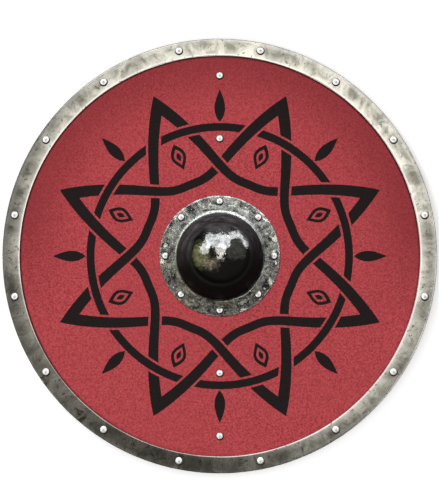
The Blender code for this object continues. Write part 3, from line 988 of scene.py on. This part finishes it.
def plywood():
    """Birch plywood: long-grained face veneer, and plies that show in the wall of the hand hole."""
    n = new_material("birch_plywood")
    fibres = n.grain(26, 6, 0.6, 0.3, stretch=(9, 0.7, 1))
    figure = n.grain(5, 4, 0.55, 1.2, stretch=(4, 0.6, 1))
    face = n.mixed(n.remap(figure, 0.35, 0.7), (0.52, 0.36, 0.205), (0.40, 0.255, 0.13))
    face = n.mixed(n.remap(fibres, 0.5, 0.72, 0, 0.55), face, (0.29, 0.175, 0.085))
    ply = (BOARD_FRONT - BOARD_BACK) / PLY_COUNT
    height = n.add("SeparateXYZ", {0: n.place})["Z"]
    through = n.calc("PINGPONG", n.minus(height, BOARD_BACK), ply)
    plies = n.mixed(n.remap(through, ply * 0.35, ply * 0.65), (0.23, 0.13, 0.06), (0.50, 0.34, 0.19))
    in_wall = n.remap(n.distance_out(), HAND_HOLE_RADIUS + 0.0006, HAND_HOLE_RADIUS + 0.0001)
    return n.fill(SHADER, {
        "Base Color": n.mixed(in_wall, face, plies),
        "Roughness": n.remap(fibres, 0.3, 0.7, 0.52, 0.68),
        "Normal": n.bump(fibres, 0.0002, 0.5),
    })


def grip_wood():
    """Oiled ash, darker where the hand holds it."""
    n = new_material("oiled_grip_wood")
    fibres = n.grain(60, 6, 0.62, 0.4, stretch=(6, 0.5, 6))
    figure = n.grain(14, 4, 0.55, 1.0, stretch=(5, 0.5, 5))
    colour = n.mixed(n.remap(figure, 0.35, 0.68), (0.36, 0.215, 0.105), (0.235, 0.13, 0.06))
    colour = n.mixed(n.remap(fibres, 0.52, 0.7, 0, 0.6), colour, (0.13, 0.07, 0.032))
    from_middle = n.calc("ABSOLUTE", n.along((0, 1, 0)))
    held = n.remap(from_middle, HANDHOLD_LENGTH * 0.3, HANDHOLD_LENGTH * 0.62, 0.5, 0.0, smooth=True)
    return n.fill(SHADER, {
        "Base Color": n.mixed(held, colour, (0.12, 0.062, 0.03)),
        "Roughness": n.remap(held, 0.0, 0.5, 0.55, 0.38),
        "Normal": n.bump(fibres, 0.00025, 0.5),
    })


# The studio


CAMERA_HEIGHT = 2.6
FRAME_LONG_SIDE_PX = 500
SHIELD_RADIUS_PX = 217.4
SHIELD_BELOW_CENTRE_PX = 6.1
SHIELD_RIGHT_OF_CENTRE_PX = 0.3
SENSOR_MM = 36
CEILING_HEIGHT = 0.5
CEILING_MIDDLE = (0.12, 0.25)       # where the ceiling over the rim is brightest
CEILING_GAP = (-0.09, -0.37)        # where somebody leans over it
WHITE, BLUISH, LEAFY, EARTHY = (1, 1, 0.98), (0.90, 0.94, 1.0), (0.94, 1.0, 0.50), (1.0, 0.84, 0.62)

# How a reflected light's edges look: how uneven, how soft, how much of it is in shade, the light left there.
GAP = (0.32, 0.12, 0.38, 0.22)
SMALL_GAP = (0.22, 0.12, 0.38, 0.30)
FOLIAGE = (0.40, 1.10, 0.40, 0.22)

# What the dome mirrors: a ragged window between trees. Each row has a name, the spot on the dome where it
# shows, its size, its radiance, its colour and its edges.
REFLECTED = (
    ("window", (-0.06, 0.36), (4.2, 2.7), 10.4, (0.88, 0.94, 1.0), GAP),
    ("window_left", (-0.34, 0.19), (1.35, 2.2), 10.5, (0.90, 0.95, 1.0), SMALL_GAP),
    ("window_middle", (0.03, 0.15), (1.4, 1.8), 8.0, WHITE, SMALL_GAP),
    ("window_foot", (0.03, 0.01), (1.1, 1.6), 8.5, WHITE, SMALL_GAP),
    ("window_right", (0.32, 0.48), (3.0, 1.2), 11.0, BLUISH, SMALL_GAP),
    ("window_end", (0.53, 0.35), (1.1, 1.9), 11.0, BLUISH, SMALL_GAP),
    ("garden", (-0.44, 0.02), (4.6, 6.4), 2.25, LEAFY, FOLIAGE),
    ("hedge", (-0.20, -0.17), (4.4, 3.4), 4.0, EARTHY, FOLIAGE),
    ("branches", (0.34, 0.18), (6.0, 5.2), 0.65, (0.9, 1.0, 0.9), FOLIAGE),
    ("leaves", (-0.02, 0.66), (7.5, 4.0), 1.1, (0.96, 0.94, 1.0), FOLIAGE),
)
REFLECTED_DISTANCE = 3.4
AROUND_RIVETS = 2.4                 # how far off the rivets' own lights stand
LOW_PANELS = 8

# What the rim mirrors besides the ceiling: rows of name, direction, size and radiance.
WALLS = (
    ("wall_top", (0, 1, 0.25), (4.0, 1.8), 1.30),
    ("wall_right", (1, 0, 0.25), (1.8, 4.0), 0.95),
    ("wall_left", (-1, 0, 0.25), (1.8, 4.0), 0.15),
    ("wall_bottom", (0, -1, 0.25), (4.0, 1.8), 0.05),
)
WALL_DISTANCE = 2.0


def make_camera():
    """A camera straight above the shield, which lies in the frame as it does in the photograph."""
    data = bpy.data.cameras.new("camera")
    outline_height = RIM_FRONT - EDGE_DROP - RIM_EDGE_ROUND
    pixel = SHIELD_RADIUS / SHIELD_RADIUS_PX
    data.sensor_width = SENSOR_MM
    data.lens = SENSOR_MM * (CAMERA_HEIGHT - outline_height) / (FRAME_LONG_SIDE_PX * pixel)
    camera = new_object("camera", data)
    camera.location = (-SHIELD_RIGHT_OF_CENTRE_PX * pixel, SHIELD_BELOW_CENTRE_PX * pixel, CAMERA_HEIGHT)
    bpy.context.scene.camera = camera


def make_floor():
    """A plain pale floor."""
    size = 8.0
    mesh = bpy.data.meshes.new("floor")
    corners = [(-size, -size, 0), (size, -size, 0), (size, size, 0), (-size, size, 0)]
    mesh.from_pydata(corners, [], [(0, 1, 2, 3)])
    floor = new_object("floor", mesh)
    mesh.materials.append(new_material("pale_floor").fill(SHADER, {
        "Base Color": (0.9, 0.9, 0.9),
        "Roughness": 0.9,
        "Specular IOR Level": 0.0,
        "Emission Color": (1, 1, 1),
        "Emission Strength": 0.35,
    }))
    floor.visible_glossy = False


def softbox(name, towards, distance, size, radiance, only=None, colour=(1, 1, 1), disc=False, edges=None):
    """A rectangular or oval light that faces the shield from a direction.

    It lights everything and shows in no reflection. With only, it shows in the gloss of those pieces alone.
    """
    data = bpy.data.lights.new(name, "AREA")
    data.shape = "ELLIPSE" if disc else "RECTANGLE"
    data.size, data.size_y = size
    data.energy = radiance * pi * size[0] * size[1] * (pi / 4 if disc else 1)
    data.color = colour
    light = new_object(name, data)
    back = Vector(towards).normalized()
    right = Vector((0, 1, 0)).cross(back).normalized()
    up = back.cross(right)
    turn = Matrix((right, up, back)).transposed().to_4x4()
    light.matrix_world = Matrix.Translation(back * distance) @ turn
    light.visible_camera = False
    light.visible_diffuse = not only
    light.visible_glossy = bool(only)
    if only:
        group = bpy.data.collections.new(name + "_receivers")
        for piece in only:
            group.objects.link(piece)
        light.light_linking.receiver_collection = group
    if edges:
        fray(data, back * distance, (right, up), size, *edges)
    return light


def fray(data, middle, axes, size, ragged, soft, shade, least):
    """Makes a light's edges uneven and dapples it, as foliage does round and in a gap."""
    n = Nodes(data, "NewGeometry", "Position")
    shares = []
    for axis, length, scale in zip(axes, size, (0.8, 1.1)):
        offset = n.minus(n.along(axis), middle.dot(axis))
        drift = n.times(n.minus(n.grain(scale, 1), 0.5), ragged * 5)
        away = n.calc("ABSOLUTE", n.plus(offset, drift))
        shares.append(n.calc("POWER", n.calc("DIVIDE", away, length / 2), 3.0))
    from_middle = n.calc("POWER", n.plus(*shares), 1 / 3)
    leaves = n.times(n.minus(n.grain(4.0, 3, 0.6), 0.5), ragged * 4)
    margin = n.times(n.minus(1.0, from_middle), min(size) / 2)
    lit = n.remap(n.plus(margin, leaves), soft * 0.5, soft * 1.5, smooth=True)
    dapple = n.remap(n.grain(3.2, 4, 0.65), shade, shade + 0.20, least, 1.0)
    n.fill("Emission", {"Strength": n.times(lit, dapple)})


def shade_ceiling(data):
    """Makes the ceiling over the rim fall off round one place, with somebody's dark outline below it."""
    n = Nodes(data, "NewGeometry", "Position")
    fall = n.remap(n.distance_from((*CEILING_MIDDLE, CEILING_HEIGHT)), 0.26, 0.70, 1.0, 0.10)
    gap = n.remap(n.distance_from((*CEILING_GAP, CEILING_HEIGHT)), 0.12, 0.33, 0.0, 1.0, smooth=True)
    n.fill("Emission", {"Strength": n.times(fall, gap)})


def seen_in_dome(x, y):
    """The direction that the dome mirrors to the camera, at x and y as shares of the dome's radius."""
    normal = Vector((x, y, sqrt(1 - x * x - y * y)))
    return 2 * normal.z * normal - Vector((0, 0, 1))


def light_boss(boss):
    for name, spot, size, radiance, colour, edges in REFLECTED:
        towards = seen_in_dome(*spot)
        softbox(name, towards, REFLECTED_DISTANCE, size, radiance, [boss], colour, edges=edges)


def light_rivets(rivets):
    """A wide sky and a ring of low panels, which only the rivets mirror and nothing shades."""
    overhead = (*polar(0.26, SUNNY_SIDE), 1.0)
    around = [softbox("overhead", overhead, AROUND_RIVETS, (11.5, 11.5), 1.25, rivets, disc=True)]
    for k in range(LOW_PANELS):
        bearing = tau / LOW_PANELS * k
        radiance = 0.62 + 0.55 * cos(bearing - SUNNY_SIDE)
        low = (*polar(1.0, bearing), 0.20)
        around.append(softbox(f"low_panel_{k}", low, AROUND_RIVETS, (2.0, 2.0), radiance, rivets))
    for light in around:
        light.light_linking.blocker_collection = light.light_linking.receiver_collection


def light_rim(rim):
    """A ceiling close over the rim, an opening beside it, and walls round it."""
    ceiling = softbox("ceiling", (0, 0, 1), CEILING_HEIGHT, (3.0, 3.0), 1.40, [rim])
    shade_ceiling(ceiling.data)
    softbox("opening", (0.25, -0.33, CEILING_HEIGHT), 0.65, (0.30, 0.30), 0.22, [rim])
    for name, towards, size, radiance in WALLS:
        softbox(name, towards, WALL_DISTANCE, size, radiance, [rim])


def make_lights(rim, boss, rivets):
    softbox("key", (-0.42, 0.55, 0.72), 3.2, (1.0, 1.0), 11.0)
    softbox("fill", (-0.05, -0.12, 1.0), 2.6, (2.6, 2.6), 2.76)
    light_boss(boss)
    light_rivets(rivets)
    light_rim(rim)


def make_world():
    """A dim studio over a pale ground. The camera sees a plain pale wall instead."""
    world = bpy.data.worlds.new("studio")
    bpy.context.scene.world = world
    world.use_nodes = True
    world.node_tree.nodes.clear()
    n = Nodes(world, "TexCoord", "Generated")
    below = n.remap(n.add("SeparateXYZ", {0: n.place})["Z"], 0.0, -0.15)
    room = n.add("Background", {"Color": n.mixed(below, (0.085, 0.08, 0.078), (0.10, 0.10, 0.10))})[0]
    wall = n.add("Background", {"Color": (0.9, 0.9, 0.9)})[0]
    seen = n.add("MixShader", {0: n.add("LightPath")["Is Camera Ray"], 1: room, 2: wall})[0]
    n.add("OutputWorld", {"Surface": seen})


make_camera()
make_floor()
rim = make_rim()
boss = make_boss()
rivets = make_rivets()
make_canvas()
make_board()
make_grip()
make_world()
make_lights(rim, boss, rivets)
bpy.context.scene.view_settings.view_transform = "Standard"
